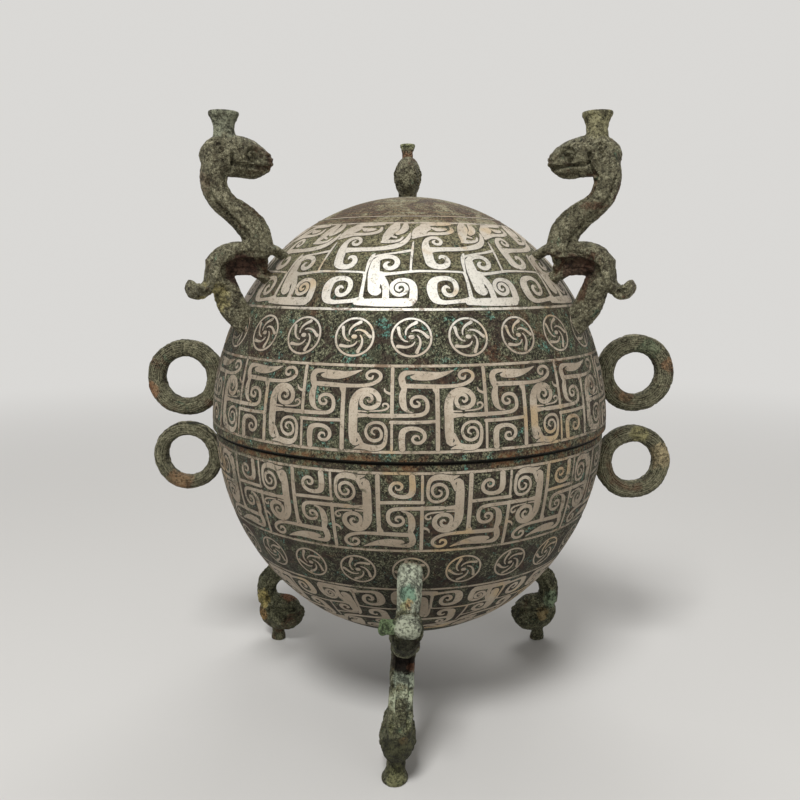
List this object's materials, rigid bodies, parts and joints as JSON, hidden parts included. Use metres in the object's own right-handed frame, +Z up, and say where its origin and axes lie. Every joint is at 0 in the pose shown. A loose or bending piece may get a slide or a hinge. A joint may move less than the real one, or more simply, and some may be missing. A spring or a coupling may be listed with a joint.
{
  "type": "bronze dun vessel",
  "caption": "Globe-shaped bronze food vessel: a bowl on beast feet under a lift-off lid with beast knobs, fixed side rings and silver border inlay.",
  "frame": {"origin": "on the surface the feet stand on, below the globe's axis", "axes": "+Z up along the globe's axis, +X towards the right-hand rings, -Y towards the front foot"},
  "size_m": [0.263, 0.2166, 0.2843],
  "materials": {
    "bronze_body": "patinated dark bronze",
    "bronze_beast": "green patinated bronze",
    "bronze_ring": "green patinated bronze",
    "silver_inlay": "worn silver"
  },
  "bodies": {
    "bowl_body": {"bowl": "bronze_body", "foot_front": "bronze_beast", "foot_rear_right": "bronze_beast", "foot_rear_left": "bronze_beast", "bowl_ring_right": "bronze_ring", "bowl_ring_left": "bronze_ring", "bowl_rim_wire": "silver_inlay", "bowl_middle_wire": "silver_inlay", "bowl_lower_wire": "silver_inlay", "bowl_base_wire": "silver_inlay"},
    "lid_body": {"lid": "bronze_body", "knob_rear": "bronze_beast", "knob_front_right": "bronze_beast", "knob_front_left": "bronze_beast", "lid_ring_right": "bronze_ring", "lid_ring_left": "bronze_ring", "lid_rim_wire": "silver_inlay", "lid_middle_wire": "silver_inlay", "lid_upper_wire": "silver_inlay", "lid_crown_wire": "silver_inlay"}
  },
  "joints": [
    {"name": "lid_lift", "type": "slide", "parent": "bowl_body", "child": "lid_body", "axis": [0, 0, 1], "range_m": [0, 0.16]}
  ]
}
